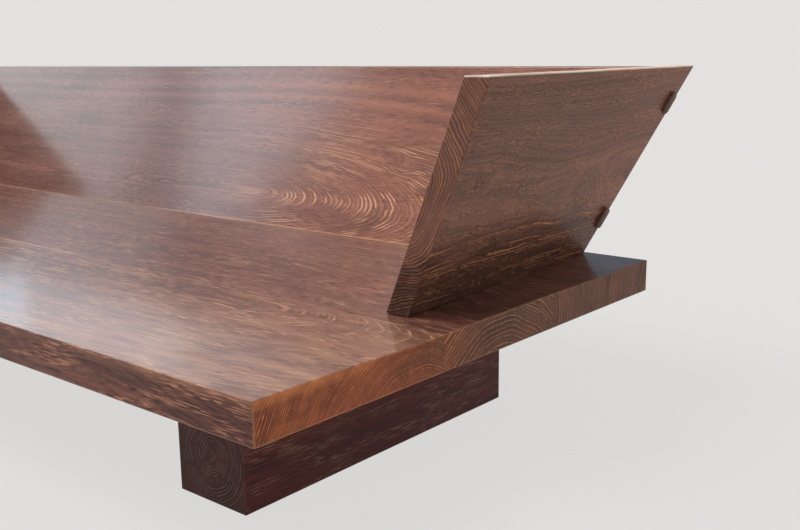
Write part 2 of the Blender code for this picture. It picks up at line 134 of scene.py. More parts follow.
def block(node, axes, eases, step, edge_wear_and_highlight, shape=None, wear_and_highlight_at=None):
    """A closed block for a sawn and planed piece of wood, through the sides of its CAD node.

    eases gives the rounding at the low and high end of each axis, and none where it meets a neighbour.
    A float attribute, worn, marks the rounded edges by edge_wear_and_highlight: pale wear, and a painted
    highlight for the light that eased edges catch. shape may move the points further, and
    wear_and_highlight_at gives the wear and painted highlight of other places.
    """
    corners = block_corners(node, axes)
    lengths = [(corners[far] - corners[0, 0, 0]).length for far in ((1, 0, 0), (0, 1, 0), (0, 0, 1))]
    places = [block_places(length, ease, step) for length, ease in zip(lengths, eases)]
    ends = [len(row) - 1 for row in places]
    bm = bmesh.new()
    worn = bm.verts.layers.float.new("worn")
    made = {}
    joined = {}

    def point(index):
        if index in made:
            return made[index]
        shares = []
        lean = []
        cut = []
        rounded = 0
        for row, at, end, length, (low, high), axis in zip(places, index, ends, lengths, eases, axes):
            spot = row[at]
            margin = low if spot < length / 2 else high
            core = min(max(spot, low), length - high)
            lean.append((spot - core) / margin if margin else 0.0)
            shares.append((core, margin, length))
            near = min(spot, length - spot)
            rounded += bool(margin) and near <= margin * SAME_SIDE + JOINT_GAP
            if not margin and at in (0, end):
                cut.append(axis if at else -axis)
        steepest = max(abs(part) for part in lean)
        scale = Vector(lean).length / steepest if steepest else 1.0
        spot = [
            (core + part / scale * margin) / length for part, (core, margin, length) in zip(lean, shares)
        ]
        place = Vector()
        for corner, at in corners.items():
            weight = 1.0
            for share, end in zip(spot, corner):
                weight *= share if end else 1 - share
            place += at * weight
        made[index] = bm.verts.new(place)
        made[index][worn] = edge_wear_and_highlight if rounded > 1 else 0.0
        joined[made[index]] = cut
        return made[index]

    for axis in range(3):
        first, second = (other for other in range(3) if other != axis)
        for end in (0, ends[axis]):
            for i in range(ends[first]):
                for j in range(ends[second]):
                    ring = []
                    for di, dj in ((0, 0), (1, 0), (1, 1), (0, 1)):
                        index = [end, end, end]
                        index[first] = i + di
                        index[second] = j + dj
                        ring.append(point(tuple(index)))
                    bm.faces.new(ring)
    bmesh.ops.recalc_face_normals(bm, faces=bm.faces)
    if bm.calc_volume(signed=True) < 0:
        bmesh.ops.reverse_faces(bm, faces=bm.faces)
    bm.normal_update()
    for vert in bm.verts:
        inwards = -vert.normal
        for way in joined[vert]:
            inwards -= way * inwards.dot(way)
            vert.co += way * JOINT_CLOSED
        depth = sum(depth * (1 + noise.noise(vert.co * waves)) / 2 for waves, depth in PLANE_MARKS)
        vert.co += inwards * depth
        if shape:
            vert.co = shape(vert.co)
        if wear_and_highlight_at:
            vert[worn] = max(vert[worn], wear_and_highlight_at(vert.co))
    return bm


def finished_mesh(name, bm, smooth_angle=SMOOTH_ANGLE):
    mesh = bpy.data.meshes.new(name)
    bm.to_mesh(mesh)
    bm.free()
    mesh.shade_smooth()
    mesh.set_sharp_from_angle(angle=smooth_angle)
    return mesh


def merged(node):
    """A CAD node's shape as one joined mesh."""
    bm = bmesh.new()
    bm.from_mesh(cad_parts[node].data)
    bmesh.ops.remove_doubles(bm, verts=bm.verts, dist=JOINT_GAP / 10)
    bm.normal_update()
    return bm


def add_grown(bm, node, gap):
    """Adds the room that a CAD piece needs to a cutter."""
    piece = merged(node)
    for vert, normal in [(vert, vert.normal * vert.calc_shell_factor()) for vert in piece.verts]:
        vert.co += normal * gap
    grown = bpy.data.meshes.new(node + ".room")
    piece.to_mesh(grown)
    piece.free()
    bm.from_mesh(grown)
    bpy.data.meshes.remove(grown)


def placed(name, data):
    """A new object in the scene."""
    obj = bpy.data.objects.new(name, data)
    bpy.context.scene.collection.objects.link(obj)
    return obj


def hollowed(mesh, cutter_bm):
    """The mesh with the cutter taken out of it."""
    name = mesh.name
    piece = placed(name + ".whole", mesh)
    cutter = placed(name + ".cutter", finished_mesh(name + ".cutter", cutter_bm))
    boolean = piece.modifiers.new("joints", "BOOLEAN")
    boolean.operation = "DIFFERENCE"
    boolean.solver = "EXACT"
    boolean.object = cutter
    cut = bpy.data.meshes.new_from_object(piece.evaluated_get(bpy.context.evaluated_depsgraph_get()))
    for obj in (piece, cutter):
        old = obj.data
        bpy.data.objects.remove(obj)
        bpy.data.meshes.remove(old)
    cut.name = name
    cut.set_sharp_from_angle(angle=SMOOTH_ANGLE)
    return cut


def with_room_for(mesh, nodes):
    """The mesh with mortises, grooves and holes for the CAD pieces named."""
    cutter = bmesh.new()
    for node in nodes:
        add_grown(cutter, node, JOINT_GAP)
    return hollowed(mesh, cutter)


def new_material(name):
    material = bpy.data.materials.new(name)
    material.use_nodes = True
    return material, material.node_tree


def add_node(kind, inputs, tree=None, **settings):
    """A node in the tree of the sockets given as inputs, which are linked. Other inputs are set."""
    sockets = {key: value for key, value in inputs.items() if isinstance(value, bpy.types.NodeSocket)}
    tree = tree or next(iter(sockets.values())).id_data
    node = tree.nodes.new(kind)
    for name, value in settings.items():
        setattr(node, name, value)
    for key, value in inputs.items():
        if key in sockets:
            tree.links.new(value, node.inputs[key])
        else:
            node.inputs[key].default_value = value
    return node


def result(kind, inputs, **settings):
    """The first output of such a node."""
    return add_node(kind, inputs, **settings).outputs[0]


def math(operation, first, second=0.0, third=0.0):
    return result("ShaderNodeMath", {0: first, 1: second, 2: third}, operation=operation)


def product(first, second):
    return math("MULTIPLY", first, second)


def vector_math(operation, first, second=(0, 0, 0)):
    node = add_node("ShaderNodeVectorMath", {0: first, 1: second}, operation=operation)
    return node.outputs["Value" if operation in ("LENGTH", "DOT_PRODUCT") else "Vector"]


def smooth_step(value, low, high, start=0.0, finish=1.0):
    inputs = {"Value": value, "From Min": low, "From Max": high, "To Min": start, "To Max": finish}
    return result("ShaderNodeMapRange", inputs, interpolation_type="SMOOTHSTEP")


def mixed(share, first, second):
    return add_node("ShaderNodeMix", {0: share, 6: first, 7: second}, data_type="RGBA").outputs[2]


def blend(share, first, second):
    return result("ShaderNodeMix", {0: share, 2: first, 3: second})


def grain_noise(log, cell, detail=1.0, output=0):
    """Noise drawn out along the grain. cell is the rough size of its spots along, across and up the log."""
    inputs = {"Vector": vector_math("DIVIDE", log, cell), "Scale": 1.0, "Detail": detail}
    return add_node("ShaderNodeTexNoise", inputs).outputs[output]


def line_noise(along, spacing):
    """Noise in one direction only, as a value around a half."""
    inputs = {"W": math("DIVIDE", along, spacing), "Scale": 1.0, "Detail": 1.0}
    return result("ShaderNodeTexNoise", inputs, noise_dimensions="1D")


def centred(value):
    """A noise's value about nought."""
    return math("SUBTRACT", value, 0.5)


def measured(place, way):
    """How far a place lies along a way, or how far a face turns to it."""
    return vector_math("DOT_PRODUCT", place, tuple(way))


EVEN = (REARWARD, 0, 1, (1, 1, 1), (1, 1, 1))


def tinted(place, tint):
    """A tint that changes along a way: from one place and colour to another."""
    way, start, finish, first, second = tint
    share = smooth_step(measured(place, way), start, finish)
    return mixed(share, (*first, 1), (*second, 1))


# The wood's figure: sizes along, across and up the log, and the noise values between which a part comes up
WANDERS = (((0.8, 0.15, 0.15), 1.0), ((0.17, 0.05, 0.05), 0.18), ((0.05, 0.014, 0.014), 0.05))
DIP_BEND = 0.12  # how softly the heart starts to sink
RING_CHANGE, RING_DRIFT = 0.03, 3.0  # over what distance rings change their width, and by how many
LINE_CORE = 0.03  # the share of a ring in which its line is full
END_BREADTH = 0.17
FAINT_LINE, LINE_SPAN = 0.04, 0.6  # a plain ring's line, and the share of rings between it and a full one
END_CHANCE = (0.0, 0.9, 0.2, 1.0)
RING_APART = 3.7  # keeps the dashes of neighbouring rings unlike
DASH_CROSSING = (0, 25, 25)
DASH_STEP = (0.40, 0.55)
SPECK_CELL, SPECK_STEP = (0.03, 0.012, 0.012), (0.36, 0.58, 0.25, 1.0)
PATCH_CELL, PATCH_STEP = (0.20, 0.035, 0.035), (0.36, 0.62, 0.08, 1.0)
CROWD_CELL, CROWD_STEP = (0.12, 0.02, 0.02), (0.42, 0.62)
FLECK_STEP, DARK_STEP = (0.57, 0.66), (0.42, 0.33)
BAND_WIDTH, BAND_TONE = 0.018, (0.8, 0.5)
CLOUD_CELL = (0.35, 0.055, 0.055)
END_STREAKS = 0.35
BORDER_CELL, BORDER_REACH = (0.12, 0.035, 0.035), 0.12
RUB_CELL, RUB_STEP = (0.12, 0.03, 0.03), (0.30, 0.62, 0.45, 1.0)
RIPPLE_CELL = (0.05, 0.012, 0.012)
FACING = (0.7, 0.9)  # how far a face turns to a way before it counts as that side
QUIET_LINES, QUIET_PORES = -0.8, 0.06  # what a quiet side takes off its lines and adds to its open pores
ROUGHNESS, LINE_ROUGHNESS, STREAK_ROUGHNESS = 0.42, 0.12, 0.20
STREAK_RELIEF, LINE_RELIEF = 0.6, 0.4
GRAIN_STRENGTH, GRAIN_DEPTH = 0.35, 0.0005
END_COAT = -0.7
COAT_ROUGHNESS = 0.14


def log_places(place, heart, along, sway, weave, dip):
    """Coordinates in the log: with its sunk heart, with the rings' wander, and with that of the fibres."""
    turn = LENGTHWISE.rotation_difference(along)
    inputs = {"Vector": place, "Location": heart, "Rotation": turn.to_euler()}
    straight = log = result("ShaderNodeMapping", inputs, vector_type="TEXTURE")
    if dip:
        towards, start, steepness = dip
        past = math("SUBTRACT", measured(log, LENGTHWISE), (start - heart).dot(along))
        past = math("SMOOTH_MAX", past, 0.0, DIP_BEND)
        sunk = tuple(turn.inverted() @ towards * -steepness)
        log = vector_math("ADD", log, vector_math("MULTIPLY", past, sunk))
    bent, fibre = log, straight
    for spot, share in WANDERS:
        drift = grain_noise(straight, spot, output=1)
        reach = 2 * sway * share
        wander = vector_math("SUBTRACT", drift, (0.5, 0.5, 0.5))
        wander = vector_math("MULTIPLY", wander, (0, reach, reach))
        bent = vector_math("ADD", bent, wander)
        fibre = vector_math("ADD", fibre, vector_math("MULTIPLY", wander, (0, 1, weave)))
    return log, bent, fibre


def ring_radius(place, bent, humps):
    """Distance from the heart, raised where a knot bends the rings."""
    radius = vector_math("LENGTH", vector_math("MULTIPLY", bent, (0, 1, 1)))
    for centre, reach, height in humps:
        offset = vector_math("SUBTRACT", place, centre)
        scaled = vector_math("DIVIDE", offset, reach)
        squared = vector_math("DOT_PRODUCT", scaled, scaled)
        fall = math("EXPONENT", product(squared, -1.0))
        radius = math("ADD", radius, product(fall, height))
    return radius


def ring_lines(rings, across_ring, fibre, end_grain, breadth, plain, dash):
    """The thin golden line of each ring, with a strength of its own, and broken up along the grain."""
    number = math("FLOOR", rings)
    chance = result("ShaderNodeTexWhiteNoise", {"W": number}, noise_dimensions="1D")
    strong = smooth_step(chance, plain, min(plain + LINE_SPAN, 1.0), FAINT_LINE, 1.0)
    strong = blend(end_grain, strong, smooth_step(chance, *END_CHANCE))
    from_line = math("ABSOLUTE", across_ring)
    line = smooth_step(from_line, breadth, LINE_CORE)
    line = blend(end_grain, line, smooth_step(from_line, END_BREADTH, LINE_CORE))
    line = product(line, strong)
    inputs = {
        "X": measured(fibre, LENGTHWISE / dash),
        "Y": product(number, RING_APART),
        "Z": measured(fibre, DASH_CROSSING),
    }
    by_ring = result("ShaderNodeCombineXYZ", inputs)
    dashes = smooth_step(grain_noise(by_ring, (1, 1, 1)), *DASH_STEP)
    patches = smooth_step(grain_noise(fibre, PATCH_CELL), *PATCH_STEP)
    specks = smooth_step(grain_noise(fibre, SPECK_CELL), *SPECK_STEP)
    broken = blend(end_grain, product(dashes, patches), specks)
    return product(line, broken)


def lacquer(tree, normal, end_grain, fibre, streaks, gold, ripple, polish, polished, specular):
    """Satin lacquer that follows the open grain, thickest on the polished side."""
    shader = tree.nodes["Principled BSDF"]
    rough = math("MULTIPLY_ADD", gold, LINE_ROUGHNESS, ROUGHNESS)
    rough = math("MULTIPLY_ADD", streaks, STREAK_ROUGHNESS, rough)
    tree.links.new(rough, shader.inputs["Roughness"])
    raised = product(streaks, STREAK_RELIEF)
    height = math("SUBTRACT", raised, product(gold, LINE_RELIEF))
    if ripple:
        height = math("MULTIPLY_ADD", grain_noise(fibre, RIPPLE_CELL), ripple, height)
    inputs = {"Height": height, "Strength": GRAIN_STRENGTH, "Distance": GRAIN_DEPTH}
    bump = result("ShaderNodeBump", inputs)
    tree.links.new(bump, shader.inputs["Normal"])
    tree.links.new(bump, shader.inputs["Coat Normal"])
    coat = smooth_step(measured(normal, polished), *FACING, *polish)
    coat = product(coat, math("MULTIPLY_ADD", end_grain, END_COAT, 1.0))
    tree.links.new(coat, shader.inputs["Coat Weight"])
    shader.inputs["Specular IOR Level"].default_value = specular
    shader.inputs["Coat Roughness"].default_value = COAT_ROUGHNESS


def teak(
    name, heart, along, colours, ring=0.0042, ring_tone=(0.3, 0.5), lines=(1.0, 1.0), breadth=0.17,
    plain=0.35, dash=0.05, calm=(), flecks=0.5, dark_pores=0.5, cell=(0.035, 0.0045, 0.002), weave=1.0,
    streak=1.8, cloud=1.2, shade=None, sway=0.02, dip=None, humps=(), ripple=0.0, polish=(0.3, 0.3),
    polished=UPWARD, specular=0.2, tint=EVEN, end_tint=EVEN, quiet=None, wear_and_highlight_colour=None,
):
    """Lacquered teak cut from a log: dark rings with thin golden lines between them, round its heart.

    heart is a point on the middle of the log, and along the way it grew. colours are the darker and the
    lighter wood, and the lines and flecks. wear_and_highlight_colour is that of the pale edges: rubbed
    wear, and a painted highlight.
    ring is the usual width of a ring, and ring_tone how its wood changes across it. lines is the strength
    of the golden lines. Both have a value for the long faces and one for the ends. breadth is how much of a
    ring its line takes on the long faces, plain the share of rings with hardly a line, and dash the length
    of its parts. calm weakens the lines before places, each given by a way, where on it the lines start to
    come back, where they are whole, and what is left before.
    flecks and dark_pores are the strength of the filled and the empty pores, and cell the size of pores and
    fine streaks. weave is how far these follow the rings up and down. streak and cloud are the strength of
    streaks and of broad patches. shade darkens the wood past a place, given in the same form.
    sway is how far the rings wander. dip sinks the heart past a point: which way, from where along the log,
    how steeply. humps bend the rings, as a knot does: each has a centre, its reach each way and its height.
    ripple is the height of small waves in the face. polish is the lacquer's strength elsewhere and on the
    side that polished points at. tint and end_tint colour the long faces and the ends, and quiet is a side
    with few lines: which way, its tint and the strength of its flecks.
    """
    ground, warm, figure = ((*colour, 1) for colour in colours)
    worn = (*wear_and_highlight_colour, 1) if wear_and_highlight_colour else figure
    material, tree = new_material(name)
    coordinates = tree.nodes.new("ShaderNodeTexCoord").outputs
    place, normal = coordinates["Object"], coordinates["Normal"]
    log, bent, fibre = log_places(place, heart, along, sway, weave, dip)
    radius = ring_radius(place, bent, humps)
    end_grain = smooth_step(math("ABSOLUTE", measured(normal, along)), *FACING)
    long_grain = math("SUBTRACT", 1.0, end_grain)

    # Rings of uneven width with their golden lines
    uneven = product(line_noise(radius, RING_CHANGE), RING_DRIFT)
    rings = math("ADD", math("DIVIDE", radius, ring), uneven)
    across_ring = centred(math("FRACT", rings))
    line = ring_lines(rings, across_ring, fibre, end_grain, breadth, plain, dash)
    line = product(line, blend(end_grain, *lines))
    for way, start, finish, least in calm:
        weaker = smooth_step(measured(place, way), start, finish, least, 1.0)
        line = product(line, blend(end_grain, weaker, 1.0))
    long_tint = tinted(place, tint)
    fleck_strength = flecks
    hushed = 0.0
    if quiet:
        way, quiet_tint, quiet_flecks = quiet
        hushed = smooth_step(measured(normal, way), *FACING)
        line = product(line, math("MULTIPLY_ADD", hushed, QUIET_LINES, 1.0))
        long_tint = mixed(hushed, long_tint, (*quiet_tint, 1))
        fleck_strength = blend(hushed, flecks, quiet_flecks)

    # Pores filled with golden dust show as short flecks on the long faces, and empty ones as dark ones
    length, width, height = cell
    pores = grain_noise(fibre, (length / 2, width / 2, height))
    crowd = smooth_step(grain_noise(fibre, CROWD_CELL), *CROWD_STEP)
    crowd = product(crowd, long_grain)
    open_pores = math("MULTIPLY_ADD", hushed, QUIET_PORES, pores)
    fleck = product(smooth_step(open_pores, *FLECK_STEP), crowd)
    dark = product(smooth_step(pores, *DARK_STEP), long_grain)
    gold = math("MAXIMUM", line, product(fleck, fleck_strength))
    gold = math("MINIMUM", gold, 1.0)

    # The wood between, in darker and warmer bands and patches, under fine streaks
    bands = centred(line_noise(radius, BAND_WIDTH))
    bands = product(bands, blend(end_grain, *BAND_TONE))
    clouds = centred(grain_noise(fibre, CLOUD_CELL, 2.0))
    streaks = centred(grain_noise(fibre, cell, 2.0))
    streaks = product(streaks, blend(end_grain, 1.0, END_STREAKS))
    in_ring = product(across_ring, blend(end_grain, *ring_tone))
    tone = math("ADD", bands, 0.5)
    for part, amount in ((clouds, cloud), (streaks, streak), (in_ring, 1.0), (dark, -dark_pores)):
        tone = math("MULTIPLY_ADD", part, amount, tone)
    wood = mixed(math("MINIMUM", math("MAXIMUM", tone, 0.0), 1.0), ground, warm)
    if shade:
        way, start, finish, least = shade
        ragged = centred(grain_noise(fibre, BORDER_CELL, 3.0))
        where = math("MULTIPLY_ADD", ragged, BORDER_REACH, measured(place, way))
        inputs = {0: wood, "Scale": smooth_step(where, start, finish, 1.0, least)}
        wood = result("ShaderNodeVectorMath", inputs, operation="SCALE")
    wood = mixed(gold, wood, figure)
    # The worn attribute draws edges paler: rubbed wear, and a painted highlight along eased edges
    edges = add_node("ShaderNodeAttribute", {}, tree, attribute_name="worn").outputs["Fac"]
    rubbed = smooth_step(grain_noise(log, RUB_CELL, 2.0), *RUB_STEP)
    wood = mixed(product(edges, rubbed), wood, worn)
    whole_tint = mixed(end_grain, long_tint, tinted(place, end_tint))
    wood = vector_math("MULTIPLY", wood, whole_tint)
    tree.links.new(wood, tree.nodes["Principled BSDF"].inputs["Base Color"])
    lacquer(tree, normal, end_grain, fibre, streaks, gold, ripple, polish, polished, specular)
    return material


def show(name, mesh, material, slot, *nodes):
    """A finished piece that stands for its CAD nodes."""
    mesh.materials.clear()
    mesh.materials.append(material)
    piece = placed(name, mesh)
    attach(piece, "root")
    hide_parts(*nodes)
    return piece


def keep(nodes, material):
    """Gives CAD nodes that stay as they are their finish."""
    for node in nodes:
        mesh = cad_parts[node].data
        mesh.materials.clear()
        mesh.materials.append(material)


def add_turned(bm, centre, profile, sides=40):
    """Adds a closed round form about an upright axis: profile gives heights and radii, from below."""
    rings = []
    turns = [2 * pi * step / sides for step in range(sides)]
    for height, radius in profile:
        places = [(centre.x + radius * cos(turn), centre.y + radius * sin(turn), height) for turn in turns]
        rings.append([bm.verts.new(place) for place in places])
    bm.faces.new(reversed(rings[0]))
    bm.faces.new(rings[-1])
    for lower, upper in zip(rings, rings[1:]):
        for near in range(sides):
            far = (near + 1) % sides
            bm.faces.new((lower[near], lower[far], upper[far], upper[near]))


SIDES = {"left": -1, "right": 1}
SCREW_NUMBERS = (1, 2, 3)
SHANK_RADIUS = 0.005
BEYOND = 0.002  # how far a bore's cutter runs past the face
slab_low, slab_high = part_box("seat_board_front")
for side, sign in SIDES.items():
    beam = f"leg_beam_{side}"
    low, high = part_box(beam)
    material = teak(
        f"oiled {side} beam teak",
        Vector((sign * (slab_high.x - LEG_HEART_INSET), low.y, high.z - LEG_HEART_DEPTH)),
        REARWARD,
        ((0.060, 0.017, 0.015), (0.220, 0.052, 0.045), (0.52, 0.32, 0.22)),
        lines=(0.2, 1.1),
        flecks=0.8,
        cell=(0.07, 0.0028, 0.0011),
        polish=(0.04, 0.04),
        specular=0.12,
        end_tint=(UPWARD, 0, 1, LEG_END_TINT, LEG_END_TINT),
    )
    eases = ((LEG_EASE, LEG_EASE), (LEG_EASE, LEG_EASE), (LEG_EASE, 0))
    mesh = finished_mesh(beam, block(beam, (REARWARD, LENGTHWISE, UPWARD), eases, LEG_STEP, LEG_WEAR_AND_HIGHLIGHT))
    bores = bmesh.new()
    for number in SCREW_NUMBERS:
        washer_low, washer_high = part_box(f"leg_washer_{side}_{number}")
        bore = (washer_high.x - washer_low.x) / 2 + JOINT_GAP
        step = washer_high.z + JOINT_GAP
        hole = SHANK_RADIUS + JOINT_GAP
        profile = ((-BEYOND, bore), (step, bore), (step, hole), (high.z + BEYOND, hole))
        add_turned(bores, (washer_low + washer_high) / 2, profile)
    show(f"{side}_leg_beam", hollowed(mesh, bores), material, "leg_wood", beam)

# Coach screws and washers
# Zinc-plated hexagon screws with a coarse thread, one into each seat board. Each is pulled up against a
# round washer at the top of its bore.
HEAD_ACROSS = 0.017
HEAD_HEIGHT = 0.007
HEAD_CHAMFER = 0.0012
HEAD_TAPER = 0.86
HEAD_CORNERS = 6
SHANK_CORNERS = 24
SCREW_TIP = 0.008
TIP_TAPER = 0.2
THREAD_DEPTH = 0.0012
THREAD_TURNS = 9.0
THREAD_LENGTH = 0.038
THREAD_SMOOTHNESS = 20  # points in each turn
RIDGE_CORNERS = 6
RIDGE_SHARE = 0.9  # how thick the ridge is for its depth
WASHER_CORNERS = 48
WASHER_EASE = 0.0005
WASHER_EASE_STEPS = 3
WELD_GAP = 1e-5
ZINC_DARK = (0.34, 0.34, 0.33, 1)
ZINC_PALE = (0.62, 0.61, 0.58, 1)
CRYSTALS = 900.0  # a metre
RUBBED_SPOTS = 120.0
CRYSTAL_TONE = 0.6
ZINC_ROUGHNESS = (0.35, 0.70, 0.50, 0.30)  # from dull to rubbed: two noise values, and the roughness there
ZINC_RELIEF, ZINC_DEPTH = 0.2, 0.0002
ROUND_ANGLE = radians(40)


def sized_tree(name, sizes):
    """A Geometry Nodes tree that sets a shape on points, with a named input for each size."""
    tree = bpy.data.node_groups.new(name, "GeometryNodeTree")
    kinds = {"Points": "Geometry", **dict.fromkeys(sizes, "Float"), "Turn": "Vector", "Finish": "Material"}
    for socket, kind in kinds.items():
        tree.interface.new_socket(socket, in_out="INPUT", socket_type=f"NodeSocket{kind}")
    tree.interface.new_socket("Shapes", in_out="OUTPUT", socket_type="NodeSocketGeometry")
    return tree, tree.nodes.new("NodeGroupInput").outputs


def joined(*shapes):
    tree = shapes[0].id_data
    node = tree.nodes.new("GeometryNodeJoinGeometry")
    for shape in shapes:
        tree.links.new(shape, node.inputs[0])
    return node.outputs[0]


def pin(corners, radius, length, nose, taper):
    """A closed round or many-sided pin up from the origin, whose nose narrows to a share of its radius."""
    foot = result("GeometryNodeMeshCircle", {"Vertices": corners, "Radius": radius}, fill_type="NGON")
    inputs = {"Mesh": foot, "Offset Scale": math("SUBTRACT", length, nose)}
    body = add_node("GeometryNodeExtrudeMesh", inputs)
    inputs = {"Mesh": body.outputs["Mesh"], "Selection": body.outputs["Top"], "Offset Scale": nose}
    tip = add_node("GeometryNodeExtrudeMesh", inputs)
    inputs = {"Geometry": tip.outputs["Mesh"], "Selection": tip.outputs["Top"], "Scale": taper}
    narrowed = result("GeometryNodeScaleElements", inputs)
    whole = joined(narrowed, result("GeometryNodeFlipFaces", {"Mesh": foot}))
    return result("GeometryNodeMergeByDistance", {"Geometry": whole, "Distance": WELD_GAP})


def set_on_points(tree, given, shape):
    """Ends a tree: the shape on each point, as plain mesh in its finish."""
    turn = result("FunctionNodeEulerToRotation", {0: given["Turn"]})
    inputs = {"Points": given["Points"], "Instance": shape, "Rotation": turn}
    copies = result("GeometryNodeInstanceOnPoints", inputs)
    real = result("GeometryNodeRealizeInstances", {"Geometry": copies})
    done = result("GeometryNodeSetMaterial", {"Geometry": real, "Material": given["Finish"]})
    tree.links.new(done, tree.nodes.new("NodeGroupOutput").inputs[0])


def made_on(places, name, tree, finish, sizes, turn=(0, 0, 0)):
    """The plain mesh that a tree makes on the places given."""
    points = bpy.data.meshes.new(name + ".places")
    points.from_pydata(places, [], [])
    obj = placed(name + ".places", points)
    modifier = obj.modifiers.new("shape", "NODES")
    modifier.node_group = tree
    values = {**sizes, "Finish": finish, "Turn": turn}
    for item in tree.interface.items_tree:
        if item.name in values:
            modifier[item.identifier] = values[item.name]
    mesh = bpy.data.meshes.new_from_object(obj.evaluated_get(bpy.context.evaluated_depsgraph_get()))
    bpy.data.objects.remove(obj)
    bpy.data.meshes.remove(points)
    bm = bmesh.new()
    bm.from_mesh(mesh)
    bpy.data.meshes.remove(mesh)
    bmesh.ops.recalc_face_normals(bm, faces=bm.faces)
    return finished_mesh(name, bm, ROUND_ANGLE)


def zinc(name):
    """Zinc-plated steel: dull and faintly crystalline, with a few rubbed spots."""
    material, tree = new_material(name)
    shader = tree.nodes["Principled BSDF"]
    place = tree.nodes.new("ShaderNodeTexCoord").outputs["Object"]
    crystals = add_node("ShaderNodeTexVoronoi", {"Vector": place, "Scale": CRYSTALS}).outputs["Color"]
    rubbed = result("ShaderNodeTexNoise", {"Vector": place, "Scale": RUBBED_SPOTS, "Detail": 3.0})
    tone = product(measured(crystals, (0.3, 0.3, 0.3)), CRYSTAL_TONE)
    colour = mixed(math("ADD", tone, rubbed), ZINC_DARK, ZINC_PALE)
    tree.links.new(colour, shader.inputs["Base Color"])
    tree.links.new(smooth_step(rubbed, *ZINC_ROUGHNESS), shader.inputs["Roughness"])
    bump = result("ShaderNodeBump", {"Height": rubbed, "Strength": ZINC_RELIEF, "Distance": ZINC_DEPTH})
    tree.links.new(bump, shader.inputs["Normal"])
    shader.inputs["Metallic"].default_value = 1.0
    return material


steel = zinc("zinc plated steel")
screws = [f"leg_screw_{side}_{number}" for side in SIDES for number in SCREW_NUMBERS]
washers = [f"leg_washer_{side}_{number}" for side in SIDES for number in SCREW_NUMBERS]
low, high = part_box(screws[0])
screw_length = high.z - low.z - HEAD_HEIGHT
names = ("Head", "Head Height", "Chamfer", "Core", "Length", "Tip", "Thread")
tree, given = sized_tree("coach screw", names)
head = pin(HEAD_CORNERS, given["Head"], given["Head Height"], given["Chamfer"], HEAD_TAPER)
shank = pin(SHANK_CORNERS, given["Core"], given["Length"], given["Tip"], TIP_TAPER)
inputs = {
    "Resolution": THREAD_SMOOTHNESS,
    "Rotations": THREAD_TURNS,
    "Start Radius": given["Core"],
    "End Radius": given["Core"],
    "Height": THREAD_LENGTH,
}
helix = result("GeometryNodeCurveSpiral", inputs)
inputs = {"Resolution": RIDGE_CORNERS, "Radius": given["Thread"]}
ridge = result("GeometryNodeCurvePrimitiveCircle", inputs)
inputs = {"Curve": helix, "Profile Curve": ridge, "Fill Caps": True}
thread = result("GeometryNodeCurveToMesh", inputs)
thread_end = math("SUBTRACT", given["Length"], given["Tip"])
thread_start = math("SUBTRACT", thread_end, THREAD_LENGTH)
where = result("ShaderNodeCombineXYZ", {"Z": thread_start})
thread = result("GeometryNodeTransform", {"Geometry": thread, "Translation": where})
head = result("GeometryNodeTransform", {"Geometry": head, "Rotation": (pi, 0, 0)})
set_on_points(tree, given, joined(head, shank, thread))
sizes = {
    "Head": HEAD_ACROSS / 2 / cos(pi / 6),
    "Head Height": HEAD_HEIGHT,
    "Chamfer": HEAD_CHAMFER,
    "Core": SHANK_RADIUS - THREAD_DEPTH,
    "Length": screw_length,
    "Tip": SCREW_TIP,
    "Thread": THREAD_DEPTH * RIDGE_SHARE,
}
places = []
for screw in screws:
    low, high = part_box(screw)
    places.append(((low.x + high.x) / 2, (low.y + high.y) / 2, low.z + HEAD_HEIGHT))
show("coach_screws", made_on(places, "coach_screws", tree, steel, sizes), steel, "screw_steel", *screws)

tree, given = sized_tree("washer", ("Middle", "Breadth", "Thickness"))
inputs = {"Resolution": WASHER_CORNERS, "Radius": given["Middle"]}
ring = result("GeometryNodeCurvePrimitiveCircle", inputs)
inputs = {"Width": given["Breadth"], "Height": given["Thickness"]}
edge = result("GeometryNodeCurvePrimitiveQuadrilateral", inputs)
inputs = {"Curve": edge, "Radius": WASHER_EASE, "Count": WASHER_EASE_STEPS}
edge = result("GeometryNodeFilletCurve", inputs, mode="POLY")
washer = result("GeometryNodeCurveToMesh", {"Curve": ring, "Profile Curve": edge})
set_on_points(tree, given, washer)
low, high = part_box(washers[0])
outer = (high.x - low.x) / 2
inner = SHANK_RADIUS + JOINT_GAP
sizes = {"Middle": (outer + inner) / 2, "Breadth": outer - inner, "Thickness": high.z - low.z}
places = [sum(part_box(washer), Vector()) / 2 for washer in washers]
mesh = made_on(places, "coach_screw_washers", tree, steel, sizes)
show("coach_screw_washers", mesh, steel, "screw_steel", *washers)

# Seat slab
# Three wide teak boards glued edge to edge over hidden loose tongues and planed as one thick slab. They are
# mortised for the arms and the back, and its right end has worn a little hollow.
SEAT_EASE = 0.002
SEAT_STEP = 0.014
# How pale the slab's eased edges are drawn: wear, and a painted highlight for the light they catch
SEAT_WEAR_AND_HIGHLIGHT = 0.3
SEAT_COLOURS = ((0.066, 0.023, 0.018), (0.324, 0.119, 0.085), (0.62, 0.32, 0.19))
# The colour of the slab's pale edges: rubbed wear, and a painted highlight
SEAT_WORN_AND_HIGHLIGHT_COLOUR = (0.72, 0.40, 0.25)
# The front face is drawn darker and redder: a painted shade for the lesser light that it gets
FRONT_SHADE_TINT = (0.80, 0.72, 0.74)
